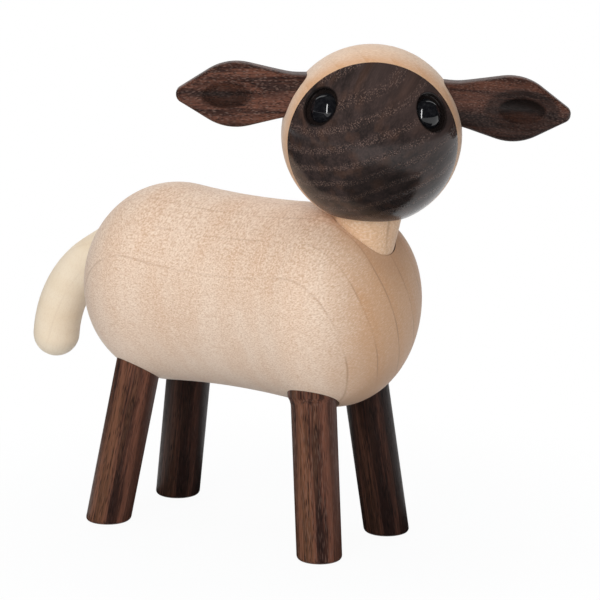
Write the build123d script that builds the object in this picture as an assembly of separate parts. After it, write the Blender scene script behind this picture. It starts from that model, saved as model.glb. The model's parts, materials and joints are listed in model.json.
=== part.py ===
"""Turned wooden sheep on four dowel legs, with a two-tone ball head that turns on its neck.

Millimetres, +Z up. The sheep faces -Y, its left side is +X, and it stands on Z = 0.
Pieces are modelled about the middle of the body and then moved together, so that the
origin lies on the table under the middle of the whole sheep.
"""

import os
from math import asin, atan2, cos, degrees, hypot, radians, sin, sqrt

from build123d import *

# Body, turned about an axis along Y, blunter at the chest than at the rump
BODY_LENGTH = 94.6
BODY_WAIST_DIAMETER = 50.9
BODY_WAIST_CURVE = 240.0
CHEST_SHOULDER_RADIUS = 17.3
RUMP_SHOULDER_RADIUS = 22.3
BODY_END_RADIUS = 35.0
BODY_AXIS_HEIGHT = 64.6

# Legs, dowels set into the belly, the front pair with a wider collar at the top
LEG_DIAMETER = 12.0
COLLAR_DIAMETER = 13.5
COLLAR_LENGTH = 11.0
COLLAR_COVE_LENGTH = 2.6
HIP_DROP = 11.0
HIP_SPACING = 22.6
FRONT_HIP_SETBACK = 20.3
REAR_HIP_SETBACK = 20.9
FRONT_LEG_LEAN = 6.1
REAR_LEG_LEAN = 10.0
LEG_SPLAY = 5.2
FOOT_EDGE_RADIUS = 1.2

# Tail, a bent rod with a round end, set into the rump
TAIL_DIAMETER = 12.6
TAIL_ROOT_RISE = 5.3
TAIL_ROOT_SLOPE = 32.5
TAIL_TIP_SLOPE = 85.0
TAIL_STRAIGHT = 4.2
TAIL_BEND_RADIUS = 30.1
TAIL_SOCKET_DEPTH = 11.0

# Neck, a tapered stem that is glued under the head and turns in the body
NECK_DIAMETER = 14.8
NECK_TOP_DIAMETER = 18.9
NECK_TAPER_LENGTH = 12.0
NECK_SETBACK = 12.6
NECK_LEAN = 4.1
NECK_TENON_DIAMETER = 12.0
NECK_TENON_LENGTH = 11.0
NECK_BORE_FLOOR_RISE = 4.0
NECK_FOOT_CHAMFER = 0.8

# Friction ring in a groove near the neck's foot
RING_SECTION = 2.0
RING_RISE = 5.0
GROOVE_SIDE_CLEARANCE = 0.1

# Head, a ball glued up from a pale back and a dark face
BALL_DIAMETER = 46.9
BALL_FLAT_DEPTH = 3.2
HEAD_GAP = 0.7
HEAD_TURN = -54.7
FACE_DEPTH = 15.2
FACE_PITCH = 4.0

# Ears, carved leaves with a round tenon; the shares are of the ear's length
EAR_RISE = 9.7
EAR_DROOP = 3.2
EAR_LENGTH = 29.9
EAR_WIDTH = 17.2
EAR_ROOT_WIDTH = 10.8
EAR_ROOT_CURVE = 14.0
EAR_BELLY_SHARE = 0.48
EAR_BELLY_CURVE_SHARE = 0.45
EAR_TIP_RADIUS = 2.2
EAR_ROOT_THICKNESS = 7.4
EAR_TIP_THICKNESS = 3.6
EAR_EDGE_RADIUS = 1.3
EAR_HOLLOW_CENTRE_SHARE = 0.55
EAR_HOLLOW_LENGTH_SHARE = 0.6
EAR_HOLLOW_WIDTH = 10.0
EAR_HOLLOW_DEPTH = 2.2
EAR_TENON_DIAMETER = 6.0
EAR_TENON_LENGTH = 9.0

# Eyes, domed beads on a shank, each in a turned recess
EYE_DIAMETER = 8.0
EYE_DOME_HEIGHT = 2.4
EYE_RECESS_DIAMETER = 10.0
EYE_RECESS_DEPTH = 1.9
EYE_SHANK_DIAMETER = 3.0
EYE_SHANK_LENGTH = 5.0
EYE_AZIMUTH = 44.3
EYE_ELEVATION = 26.3

# Fits
GLUE_GAP = 0.04
RUNNING_CLEARANCE = 0.06
BORE_MOUTH_RELIEF = 0.25
END_CLEARANCE = 0.05

# Sizes that follow from the ones above
BODY_HALF = BODY_LENGTH / 2
BODY_WAIST_RADIUS = BODY_WAIST_DIAMETER / 2
LEG_RADIUS = LEG_DIAMETER / 2
COLLAR_RADIUS = COLLAR_DIAMETER / 2
TAIL_RADIUS = TAIL_DIAMETER / 2
NECK_RADIUS = NECK_DIAMETER / 2
NECK_TOP_RADIUS = NECK_TOP_DIAMETER / 2
BEARING_RADIUS = NECK_RADIUS + RUNNING_CLEARANCE
BALL_RADIUS = BALL_DIAMETER / 2
BALL_FLAT_DROP = BALL_RADIUS - BALL_FLAT_DEPTH
BALL_FLAT_RADIUS = sqrt(BALL_RADIUS**2 - BALL_FLAT_DROP**2)
SEAM_OFFSET = BALL_RADIUS - FACE_DEPTH
RING_CENTRE_RADIUS = BEARING_RADIUS - END_CLEARANCE - RING_SECTION / 2
EAR_BELLY = EAR_LENGTH * EAR_BELLY_SHARE
EAR_BELLY_RADIUS = EAR_LENGTH * EAR_BELLY_CURVE_SHARE
EAR_HOLLOW_CENTRE = EAR_LENGTH * EAR_HOLLOW_CENTRE_SHARE
EAR_HOLLOW_LENGTH = EAR_LENGTH * EAR_HOLLOW_LENGTH_SHARE


def shoulder_centre(shoulder_radius):
    """Centre, along the body and out from its axis, of the arc that joins waist and end."""
    end_centre = BODY_HALF - BODY_END_RADIUS
    waist_centre = BODY_WAIST_RADIUS + BODY_WAIST_CURVE
    from_end = BODY_END_RADIUS - shoulder_radius
    from_waist = BODY_WAIST_CURVE + shoulder_radius
    apart = hypot(end_centre, waist_centre)
    along = (from_end**2 - from_waist**2 + apart**2) / (2 * apart)
    across = sqrt(from_end**2 - along**2)
    lengthwise = end_centre + (across * waist_centre - along * end_centre) / apart
    outward = (along * waist_centre + across * end_centre) / apart
    return lengthwise, outward


def arc_by_centre(centre, radius, start, end):
    """Short arc of a circle between two of its points."""
    middle = (start + end) / 2 - centre
    return ThreePointArc(start, centre + middle.normalized() * radius, end)


def body_blank():
    """Turned body with no holes: domed ends, round shoulders and a slightly drawn-in waist."""
    waist_low = Vector(BODY_WAIST_RADIUS, 0)
    waist_centre = waist_low + Vector(BODY_WAIST_CURVE, 0)
    outline = [Line((0, -BODY_HALF), (0, BODY_HALF))]
    for end, shoulder_radius in ((-1, CHEST_SHOULDER_RADIUS), (1, RUMP_SHOULDER_RADIUS)):
        lengthwise, outward = shoulder_centre(shoulder_radius)
        pole = Vector(0, end * BODY_HALF)
        shoulder = Vector(outward, end * lengthwise)
        end_centre = Vector(0, end * (BODY_HALF - BODY_END_RADIUS))
        end_join = end_centre + (shoulder - end_centre).normalized() * BODY_END_RADIUS
        waist_join = waist_centre + (shoulder - waist_centre).normalized() * BODY_WAIST_CURVE
        outline.append(arc_by_centre(end_centre, BODY_END_RADIUS, pole, end_join))
        outline.append(arc_by_centre(shoulder, shoulder_radius, end_join, waist_join))
        outline.append(arc_by_centre(waist_centre, BODY_WAIST_CURVE, waist_join, waist_low))
    turned = revolve(make_face(outline), Axis.Y)
    return Pos(0, 0, BODY_AXIS_HEIGHT) * turned


def leg_place(front, side):
    """Hip of one leg, with the leg's own axis pointing up into the body."""
    setback = FRONT_HIP_SETBACK if front else REAR_HIP_SETBACK
    lean = FRONT_LEG_LEAN if front else REAR_LEG_LEAN
    towards_end = -1 if front else 1
    hip = Vector(
        side * HIP_SPACING / 2,
        towards_end * (BODY_HALF - setback),
        BODY_AXIS_HEIGHT - HIP_DROP,
    )
    up = Vector(
        -side * sin(radians(LEG_SPLAY)) / cos(radians(LEG_SPLAY)),
        -towards_end * sin(radians(lean)) / cos(radians(lean)),
        1,
    )
    return Plane(origin=hip, z_dir=up)


def leg_collar():
    """Wider top of a front leg, drawn in to the dowel by a cove."""
    step = COLLAR_RADIUS - LEG_RADIUS
    cove_radius = (step**2 + COLLAR_COVE_LENGTH**2) / (2 * step)
    cove_foot = -COLLAR_LENGTH - COLLAR_COVE_LENGTH
    rim = Vector(COLLAR_RADIUS, -COLLAR_LENGTH)
    foot = Vector(LEG_RADIUS, cove_foot)
    outline = [
        Polyline((0, cove_foot), (0, 0), (COLLAR_RADIUS, 0), rim),
        arc_by_centre(Vector(LEG_RADIUS + cove_radius, cove_foot), cove_radius, rim, foot),
        Line(foot, (0, cove_foot)),
    ]
    return revolve(Plane.XZ * make_face(outline), Axis.Z)


def leg(front, side):
    """Dowel from its flat sole on the table to the floor of its socket."""
    place = leg_place(front, side)
    reach = place.origin.Z / place.z_dir.Z + LEG_DIAMETER
    dowel = Cylinder(LEG_RADIUS, reach, align=(Align.CENTER, Align.CENTER, Align.MAX))
    if front:
        dowel += leg_collar()
    foot = split(place * dowel, bisect_by=Plane.XY, keep=Keep.TOP)
    sole = foot.faces().sort_by(Axis.Z)[0]
    return fillet(sole.edges(), FOOT_EDGE_RADIUS)


def leg_socket(front, side):
    """Blind hole for one leg, down from the hip and out through the belly."""
    radius = COLLAR_RADIUS if front else LEG_RADIUS
    hole = Cylinder(
        radius + GLUE_GAP, BODY_AXIS_HEIGHT, align=(Align.CENTER, Align.CENTER, Align.MAX)
    )
    return leg_place(front, side) * hole


def tail_root():
    """Point on the body's end that the tail's axis passes, and the tail's direction there."""
    start = Vector(0, BODY_HALF, BODY_AXIS_HEIGHT + TAIL_ROOT_RISE)
    slope = radians(TAIL_ROOT_SLOPE)
    return start, Vector(0, cos(slope), -sin(slope))


def tail():
    """Round rod from its socket, bent down in one arc, with a ball end."""
    start, heading = tail_root()
    sweep_angle = radians(TAIL_TIP_SLOPE - TAIL_ROOT_SLOPE)
    bend_start = start + heading * TAIL_STRAIGHT
    inward = Vector(0, heading.Z, -heading.Y)
    bend_centre = bend_start + inward * TAIL_BEND_RADIUS

    def on_bend(angle):
        return bend_centre + (heading * sin(angle) - inward * cos(angle)) * TAIL_BEND_RADIUS

    inner_end = start - heading * TAIL_SOCKET_DEPTH
    tip = on_bend(sweep_angle)
    bend = ThreePointArc(bend_start, on_bend(sweep_angle / 2), tip)
    path = Wire([Line(inner_end, bend_start), bend])
    section = Plane(origin=inner_end, z_dir=heading) * Circle(TAIL_RADIUS)
    rod = sweep(section, path=path)
    return rod + Pos(tip) * Sphere(TAIL_RADIUS)


def tail_socket():
    """Blind hole for the tail, out through the rump."""
    start, heading = tail_root()
    inner_end = start - heading * TAIL_SOCKET_DEPTH
    hole = Cylinder(
        TAIL_RADIUS + GLUE_GAP,
        TAIL_SOCKET_DEPTH + TAIL_DIAMETER,
        align=(Align.CENTER, Align.CENTER, Align.MIN),
    )
    return Plane(origin=inner_end, z_dir=heading) * hole


def neck_place():
    """Where the neck's axis crosses the level of the body's axis, pointing up and forward."""
    foot = Vector(0, -(BODY_HALF - NECK_SETBACK), BODY_AXIS_HEIGHT)
    lean = radians(NECK_LEAN)
    return Plane(origin=foot, x_dir=(1, 0, 0), z_dir=(0, -sin(lean), cos(lean)))


def head_rise():
    """Distance up the neck's axis to the ball's centre, which leaves HEAD_GAP over the body."""
    lean = radians(NECK_LEAN)
    lengthwise, outward = shoulder_centre(CHEST_SHOULDER_RADIUS)
    # the rear edge of the ball's flat, seen from the chest shoulder's centre
    edge_forward = BODY_HALF - NECK_SETBACK - BALL_FLAT_RADIUS * cos(lean) - lengthwise
    edge_up = BALL_FLAT_RADIUS * sin(lean) - outward
    along = edge_forward * sin(lean) + edge_up * cos(lean)
    spread = edge_forward**2 + edge_up**2 - CHEST_SHOULDER_RADIUS**2
    body_top = -along + sqrt(along**2 - spread)
    return body_top + HEAD_GAP + BALL_FLAT_DROP


def head_place():
    """Ball centre, turned as the head is, with -Y along the face and +X to the head's left."""
    return neck_place().location * Pos(0, 0, head_rise()) * Rot(0, 0, HEAD_TURN)


def neck_shoulder():
    """Height up the neck's axis of the ball's flat, which the stem is glued against."""
    return head_rise() - BALL_FLAT_DROP


def neck_bore():
    """Bore in the body: a bearing for the neck's foot and a tapered, relieved mouth."""
    base = (Align.CENTER, Align.CENTER, Align.MIN)
    taper_foot = neck_shoulder() - NECK_TAPER_LENGTH
    bearing = Cylinder(BEARING_RADIUS, taper_foot - NECK_BORE_FLOOR_RISE, align=base)
    mouth = Cone(
        NECK_RADIUS + BORE_MOUTH_RELIEF,
        NECK_TOP_RADIUS + BORE_MOUTH_RELIEF,
        NECK_TAPER_LENGTH,
        align=base,
    )
    bore = Pos(0, 0, NECK_BORE_FLOOR_RISE) * bearing + Pos(0, 0, taper_foot) * mouth
    return neck_place() * bore


def body():
    """Body with its sockets for the legs and the tail and its bore for the neck."""
    part = body_blank()
    for front in (True, False):
        for side in (-1, 1):
            part -= leg_socket(front, side)
    part -= tail_socket()
    part -= neck_bore()
    return part


def neck():
    """Stem with a grooved foot, a tapered neck and a tenon for the head."""
    base = (Align.CENTER, Align.CENTER, Align.MIN)
    foot_height = NECK_BORE_FLOOR_RISE + END_CLEARANCE
    taper_foot = neck_shoulder() - NECK_TAPER_LENGTH
    foot = Cylinder(NECK_RADIUS, taper_foot - foot_height, align=base)
    foot = chamfer(foot.edges().group_by(Axis.Z)[0], NECK_FOOT_CHAMFER)
    taper = Cone(NECK_RADIUS, NECK_TOP_RADIUS, NECK_TAPER_LENGTH, align=base)
    tenon = Cylinder(NECK_TENON_DIAMETER / 2, NECK_TENON_LENGTH, align=base)
    groove_width = RING_SECTION + 2 * GROOVE_SIDE_CLEARANCE
    groove = Cylinder(NECK_DIAMETER, groove_width)
    groove -= Cylinder(RING_CENTRE_RADIUS - RING_SECTION / 2, groove_width)
    stem = Pos(0, 0, foot_height) * foot
    stem += Pos(0, 0, taper_foot) * taper
    stem += Pos(0, 0, neck_shoulder()) * tenon
    stem -= Pos(0, 0, NECK_BORE_FLOOR_RISE + RING_RISE) * groove
    return neck_place() * stem


def neck_ring():
    """Rubber ring that drags on the bore, so that the head stays where it is turned."""
    ring = Torus(RING_CENTRE_RADIUS, RING_SECTION / 2)
    return neck_place() * Pos(0, 0, NECK_BORE_FLOOR_RISE + RING_RISE) * ring


def ball_blank():
    """Ball with the flat under it that seats the neck."""
    flat = Plane(origin=(0, 0, -BALL_FLAT_DROP))
    return split(Sphere(BALL_RADIUS), bisect_by=flat, keep=Keep.TOP)


def neck_socket():
    """Blind hole for the neck's tenon, up from the ball's flat."""
    hole = Cylinder(
        NECK_TENON_DIAMETER / 2 + GLUE_GAP,
        NECK_TENON_LENGTH + GLUE_GAP,
        align=(Align.CENTER, Align.CENTER, Align.MIN),
    )
    return Pos(0, 0, -BALL_FLAT_DROP) * hole


def seam_plane():
    """Glue seam between the pale back and the dark face, facing the way the face does."""
    pitch = radians(FACE_PITCH)
    facing = Vector(0, -cos(pitch), -sin(pitch))
    return Plane(origin=facing * SEAM_OFFSET, z_dir=facing)


def ear_place(side):
    """Ear's own plane: X out along the ear from the ball, Y up across it, Z to its front."""
    lateral = sqrt(BALL_RADIUS**2 - EAR_RISE**2)
    droop = radians(EAR_DROOP)
    return Plane(
        origin=(side * lateral, 0, EAR_RISE),
        x_dir=(side * cos(droop), 0, -sin(droop)),
        z_dir=(0, -1, 0),
    )


def ear_outline():
    """Leaf: straight root, a full belly on each edge, straight flanks and a round tip."""
    belly = Vector(EAR_BELLY, EAR_WIDTH / 2 - EAR_BELLY_RADIUS)
    tip = Vector(EAR_LENGTH - EAR_TIP_RADIUS, 0)
    root = Vector(0, EAR_ROOT_WIDTH / 2)
    to_tip = tip - belly
    flank_turn = asin((EAR_BELLY_RADIUS - EAR_TIP_RADIUS) / to_tip.length)
    flank = atan2(to_tip.Y, to_tip.X) - flank_turn
    flank_out = Vector(-sin(flank), cos(flank))
    to_root = root - belly
    root_turn = asin(EAR_BELLY_RADIUS / to_root.length)
    root_line = atan2(-to_root.Y, -to_root.X) + root_turn
    root_out = Vector(-sin(root_line), cos(root_line))
    belly_start = belly + root_out * EAR_BELLY_RADIUS
    belly_end = belly + flank_out * EAR_BELLY_RADIUS
    tip_start = tip + flank_out * EAR_TIP_RADIUS
    inner = Vector(-EAR_ROOT_WIDTH, EAR_ROOT_WIDTH / 2)
    upper = [
        Line(inner, root),
        Line(root, belly_start),
        arc_by_centre(belly, EAR_BELLY_RADIUS, belly_start, belly_end),
        Line(belly_end, tip_start),
    ]
    lower = [mirror(edge, about=Plane.XZ) for edge in upper]
    nose = ThreePointArc(
        tip_start, Vector(EAR_LENGTH, 0), Vector(tip_start.X, -tip_start.Y)
    )
    base = Line(inner, Vector(inner.X, -inner.Y))
    leaf = make_face(upper + lower + [nose, base])
    roots = [corner for corner in leaf.vertices() if abs(corner.X) < EAR_TIP_RADIUS]
    return fillet(roots, EAR_ROOT_CURVE)


def ear_half_thickness(along):
    """Half of the ear's thickness at a distance from the ball."""
    thinning = (EAR_ROOT_THICKNESS - EAR_TIP_THICKNESS) / EAR_LENGTH
    return (EAR_ROOT_THICKNESS - thinning * along) / 2


def ear_blank():
    """Leaf that thins from root to tip, with rounded edges all round."""
    inner = -EAR_ROOT_WIDTH
    beyond = EAR_LENGTH + EAR_TIP_RADIUS
    slab = extrude(ear_outline(), EAR_ROOT_THICKNESS, both=True)
    side_view = Plane.XZ * Polygon(
        (inner, ear_half_thickness(inner)),
        (beyond, ear_half_thickness(beyond)),
        (beyond, -ear_half_thickness(beyond)),
        (inner, -ear_half_thickness(inner)),
        align=None,
    )
    leaf = slab & extrude(side_view, EAR_WIDTH, both=True)
    rims = [
        edge
        for edge in leaf.edges()
        if edge.center().X > inner / 2 and abs(edge.center().Z) > EAR_TIP_THICKNESS / 4
    ]
    return fillet(rims, EAR_EDGE_RADIUS)


def ear_hollow():
    """Spoon-shaped hollow: a spindle whose arc runs along the ear, sunk into its front."""
    half_length = EAR_HOLLOW_LENGTH / 2
    half_width = EAR_HOLLOW_WIDTH / 2
    cutter_radius = (half_width**2 + EAR_HOLLOW_DEPTH**2) / (2 * EAR_HOLLOW_DEPTH)
    arc_radius = (half_length**2 + EAR_HOLLOW_DEPTH**2) / (2 * EAR_HOLLOW_DEPTH)
    reach = sqrt(arc_radius**2 - (arc_radius - cutter_radius) ** 2)
    profile = [
        ThreePointArc((-reach, 0), (0, cutter_radius), (reach, 0)),
        Line((-reach, 0), (reach, 0)),
    ]
    spindle = revolve(make_face(profile), Axis.X)
    thinning = ear_half_thickness(0) - ear_half_thickness(EAR_LENGTH)
    tilt = degrees(atan2(thinning, EAR_LENGTH))
    lift = ear_half_thickness(EAR_HOLLOW_CENTRE) + cutter_radius - EAR_HOLLOW_DEPTH
    return Pos(EAR_HOLLOW_CENTRE, 0, lift) * Rot(0, tilt, 0) * spindle


def ear_tenon(radius, length):
    """Round peg from the ear's root into the ball."""
    peg = Cylinder(radius, length, align=(Align.CENTER, Align.CENTER, Align.MAX))
    return Rot(0, 90, 0) * peg


def ear(side):
    """Carved leaf, coped to the ball, with its peg."""
    leaf = ear_place(side) * (ear_blank() - ear_hollow())
    leaf -= Sphere(BALL_RADIUS + GLUE_GAP)
    peg = ear_place(side) * ear_tenon(EAR_TENON_DIAMETER / 2, EAR_TENON_LENGTH)
    root_core = ear_place(side) * Rot(0, 90, 0) * Cylinder(
        EAR_TENON_DIAMETER / 2,
        EAR_TENON_DIAMETER / 2,
        align=(Align.CENTER, Align.CENTER, Align.MIN),
    )
    return head_place() * (leaf + peg + root_core)


def ear_socket(side):
    """Blind hole for one ear's peg, open at the ball's surface."""
    hole = ear_tenon(EAR_TENON_DIAMETER / 2 + GLUE_GAP, EAR_TENON_LENGTH)
    mouth = Pos(EAR_TENON_DIAMETER, 0, 0) * ear_tenon(
        EAR_TENON_DIAMETER / 2 + GLUE_GAP, EAR_TENON_DIAMETER
    )
    return ear_place(side) * (hole + mouth)


def eye_place(side):
    """Recess floor of one eye, on a radius of the ball, pointing out."""
    azimuth = radians(EYE_AZIMUTH)
    elevation = radians(EYE_ELEVATION)
    outward = Vector(
        side * sin(azimuth) * cos(elevation),
        -cos(azimuth) * cos(elevation),
        sin(elevation),
    )
    return Plane(origin=outward * (BALL_RADIUS - EYE_RECESS_DEPTH), z_dir=outward)


def eye(side):
    """Domed bead with a shank."""
    radius = EYE_DIAMETER / 2
    dome_radius = (radius**2 + EYE_DOME_HEIGHT**2) / (2 * EYE_DOME_HEIGHT)
    dome = Pos(0, 0, EYE_DOME_HEIGHT - dome_radius) * Sphere(dome_radius)
    bead = split(dome, bisect_by=Plane.XY, keep=Keep.TOP)
    shank = Cylinder(
        EYE_SHANK_DIAMETER / 2,
        EYE_SHANK_LENGTH,
        align=(Align.CENTER, Align.CENTER, Align.MAX),
    )
    return head_place() * (eye_place(side) * (bead + shank))


def eye_recess(side):
    """Shallow round recess with a blind hole for the shank."""
    recess = Cylinder(
        EYE_RECESS_DIAMETER / 2,
        EYE_DIAMETER,
        align=(Align.CENTER, Align.CENTER, Align.MIN),
    )
    hole = Cylinder(
        EYE_SHANK_DIAMETER / 2 + GLUE_GAP,
        EYE_SHANK_LENGTH + GLUE_GAP,
        align=(Align.CENTER, Align.CENTER, Align.MAX),
    )
    return eye_place(side) * (recess + hole)


def head_ball():
    """Pale back of the ball, with sockets for the neck and the ears."""
    back = split(ball_blank(), bisect_by=seam_plane(), keep=Keep.BOTTOM)
    back -= neck_socket()
    for side in (-1, 1):
        back -= ear_socket(side)
    return head_place() * back


def face():
    """Dark front of the ball, with a recess for each eye."""
    front = split(ball_blank(), bisect_by=seam_plane(), keep=Keep.TOP)
    front -= neck_socket()
    for side in (-1, 1):
        front -= eye_recess(side)
    return head_place() * front


def sheep():
    """Every piece by name, about the middle of the body."""
    pieces = {"body": body(), "tail": tail()}
    for end, front in (("front", True), ("rear", False)):
        for name, side in (("left", 1), ("right", -1)):
            pieces[f"{end}_{name}_leg"] = leg(front, side)
    pieces["neck"] = neck()
    pieces["neck_ring"] = neck_ring()
    pieces["head_ball"] = head_ball()
    pieces["face"] = face()
    for name, side in (("left", 1), ("right", -1)):
        pieces[f"{name}_ear"] = ear(side)
        pieces[f"{name}_eye"] = eye(side)
    return pieces


def main():
    """Centre the sheep on the table and write each piece."""
    pieces = sheep()
    box = Compound(list(pieces.values())).bounding_box()
    to_origin = Pos(-box.center().X, -box.center().Y, 0)
    os.makedirs("parts", exist_ok=True)
    for name, piece in pieces.items():
        export_step(to_origin * piece, f"parts/{name}.step")
    neck_axis = neck_place().z_dir
    print("box", box.size)
    print("ball centre", (to_origin * head_place()).position)
    print("neck axis", neck_axis)


main()
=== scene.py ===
"""Builds the finish pieces of a turned wooden sheep and the white studio it stands in.

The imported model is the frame, so every piece is made in its place, in metres, with +Z up.
The sheep faces -Y and its left side is +X. Sizes repeat those of the part's own solids.
"""

import json
import math
from typing import NamedTuple

import bmesh
import bpy
from mathutils import Matrix, Vector


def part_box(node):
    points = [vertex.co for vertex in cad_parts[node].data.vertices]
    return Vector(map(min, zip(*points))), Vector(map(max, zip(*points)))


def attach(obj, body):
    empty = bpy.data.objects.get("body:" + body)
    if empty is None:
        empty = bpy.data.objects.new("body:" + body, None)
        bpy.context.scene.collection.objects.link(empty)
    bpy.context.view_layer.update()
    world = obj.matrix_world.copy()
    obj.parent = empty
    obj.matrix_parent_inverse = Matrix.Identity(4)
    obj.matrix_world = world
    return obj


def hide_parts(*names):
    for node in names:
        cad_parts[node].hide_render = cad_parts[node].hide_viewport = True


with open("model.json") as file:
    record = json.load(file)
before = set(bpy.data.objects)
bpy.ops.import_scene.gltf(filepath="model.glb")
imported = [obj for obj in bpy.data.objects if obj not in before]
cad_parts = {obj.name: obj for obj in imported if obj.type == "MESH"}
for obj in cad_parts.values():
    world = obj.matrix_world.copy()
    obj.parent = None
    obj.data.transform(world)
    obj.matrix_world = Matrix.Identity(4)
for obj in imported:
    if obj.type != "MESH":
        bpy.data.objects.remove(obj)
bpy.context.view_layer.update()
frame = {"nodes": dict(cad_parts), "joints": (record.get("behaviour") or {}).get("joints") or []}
NECK_JOINT = frame["joints"][0]
BALL_CENTRE = Vector(NECK_JOINT["pos_m"])
NECK_AXIS = Vector(NECK_JOINT["axis"])
CHEST_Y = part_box("body")[0].y

bl_info = {
    "name": "Turned Wooden Sheep",
    "version": (1, 0, 0),
    "blender": (4, 5, 0),
    "location": "View3D > Sidebar > Sheep",
    "description": "Builds a turned wooden sheep with a two-tone ball head that turns",
    "category": "Add Mesh",
}

MM = 0.001
ORIGIN = Vector((0, 0, 0))
LEFT = Vector((1, 0, 0))
FORWARD = Vector((0, -1, 0))
UP = Vector((0, 0, 1))
# From the sheep towards the camera.
VIEW_BACK = Vector((-0.8076, -0.5447, 0.2261))
HANDS = (("left", 1), ("right", -1))
WHITE = (1.0, 1.0, 1.0, 1.0)

# Small sizes that seat a piece or only break an edge.
GLUE_GAP = 0.04 * MM
LEG_HOLE = 50.0 * MM
TAIL_HOLE = 30.0 * MM
GROOVE_PLAY = 0.1 * MM
FOOT_CHAMFER = 0.8 * MM
RECESS_CORNER = 0.15 * MM
SHANK_RADIUS = 1.5 * MM
SHANK_LENGTH = 5.0 * MM
BEAD_EDGE = 0.2 * MM
EAR_ROOT_BLEND = 1.6 * MM
EAR_TIP_EDGE = 1.4 * MM
DISH_SOFTNESS = 0.10 * MM
HOLLOW_SOFTNESS = 0.22 * MM


def length(name, description, millimetres):
    """A size of the object, shown in the scene's own units."""
    return bpy.props.FloatProperty(
        name=name, description=description, default=millimetres * MM, precision=5, unit="LENGTH"
    )


def angle(name, description, degrees):
    """A slope or turn of the object."""
    return bpy.props.FloatProperty(
        name=name, description=description, default=math.radians(degrees), unit="ROTATION"
    )


def share(name, description, part):
    """A part of another size, from 0 to 1."""
    return bpy.props.FloatProperty(
        name=name, description=description, default=part, min=0, max=1, subtype="FACTOR"
    )


def colour(name, description, red, green, blue):
    """A linear colour of a finish."""
    return bpy.props.FloatVectorProperty(
        name=name,
        description=description,
        default=(red, green, blue),
        size=3,
        min=0,
        max=1,
        subtype="COLOR",
    )


class SheepBody(bpy.types.PropertyGroup):
    """Sizes of the turned body."""

    long: length("Length", "From rump to chest", 94.6)
    waist: length("Waist", "Diameter at the middle", 50.9)
    waist_curve: length("Waist curve", "Radius of the hollow along the waist", 240.0)
    chest_shoulder: length("Chest shoulder", "Radius of the shoulder at the chest", 17.3)
    rump_shoulder: length("Rump shoulder", "Radius of the shoulder at the rump", 22.3)
    end_radius: length("End radius", "Radius of the domed ends", 35.0)
    axis_height: length("Axis height", "Height of the body's axis over the table", 64.6)


class SheepLegs(bpy.types.PropertyGroup):
    """Sizes of the dowel legs."""

    diameter: length("Diameter", "Diameter of the dowels", 12.0)
    collar: length("Collar", "Diameter of the front legs at the belly", 13.5)
    collar_length: length("Collar length", "Length of the collar from the hip", 11.0)
    cove_length: length("Cove length", "Length in which the collar draws in", 2.6)
    hip_drop: length("Hip drop", "Hips below the body's axis", 11.0)
    hip_spacing: length("Hip spacing", "Left hip to right hip", 22.6)
    front_setback: length("Front setback", "Front hips behind the chest", 20.3)
    rear_setback: length("Rear setback", "Rear hips before the rump", 20.9)
    front_lean: angle("Front lean", "Front legs, forwards", 6.1)
    rear_lean: angle("Rear lean", "Rear legs, backwards", 10.0)
    splay: angle("Splay", "All legs, outwards", 5.2)
    foot_edge: length("Foot edge", "Rounding of the sole's edge", 1.2)


class SheepTail(bpy.types.PropertyGroup):
    """Sizes of the bent tail."""

    diameter: length("Diameter", "Diameter of the rod", 12.6)
    root_rise: length("Root rise", "Root above the body's axis", 5.3)
    root_slope: angle("Root slope", "Fall of the rod at the rump", 32.5)
    tip_slope: angle("Tip slope", "Fall of the rod at the tip", 85.0)
    straight: length("Straight", "Straight run before the bend", 4.2)
    bend_radius: length("Bend radius", "Radius of the bend", 30.1)
    socket_depth: length("Socket depth", "Depth of the rod in the rump", 11.0)


class SheepNeck(bpy.types.PropertyGroup):
    """Sizes of the turning neck and its bore."""

    diameter: length("Foot diameter", "Diameter that runs in the bore", 14.8)
    top_diameter: length("Top diameter", "Diameter against the head", 18.9)
    taper_length: length("Taper length", "Length of the tapered part", 12.0)
    tenon_diameter: length("Tenon diameter", "Diameter of the tenon in the head", 12.0)
    tenon_length: length("Tenon length", "Length of the tenon in the head", 11.0)
    floor_rise: length("Floor rise", "Bore's floor above the body's axis", 4.0)
    end_clearance: length("End clearance", "Foot above the bore's floor", 0.05)
    running_clearance: length("Running clearance", "Radial gap in the bearing", 0.06)
    mouth_relief: length("Mouth relief", "Radial gap at the tapered mouth", 0.25)
    ring_section: length("Ring section", "Thickness of the rubber ring", 2.0)
    ring_rise: length("Ring rise", "Ring above the bore's floor", 5.0)


class SheepHead(bpy.types.PropertyGroup):
    """Sizes of the ball head and its eyes."""

    ball: length("Ball", "Diameter of the ball", 46.9)
    flat_depth: length("Flat depth", "Depth of the flat under the ball", 3.2)
    turn: angle("Turn", "Head's turn about the neck", -54.7)
    face_depth: length("Face depth", "Thickness of the dark face", 15.2)
    face_pitch: angle("Face pitch", "Seam's tilt towards the floor", 4.0)
    seam_inset: length("Seam inset", "Step of both edges at the seam", 0.036)
    eye: length("Eye", "Diameter of the bead", 8.0)
    eye_dome: length("Eye dome", "Height of the bead's dome", 2.4)
    recess: length("Recess", "Diameter of the recess round an eye", 10.0)
    recess_depth: length("Recess depth", "Depth of the recess below the ball", 1.9)
    recess_round: length("Recess round", "Rounding of the recess's rim", 0.45)
    eye_azimuth: angle("Eye azimuth", "Eyes to each side of the face's middle", 44.3)
    eye_elevation: angle("Eye elevation", "Eyes above the ball's middle", 26.3)


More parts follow.
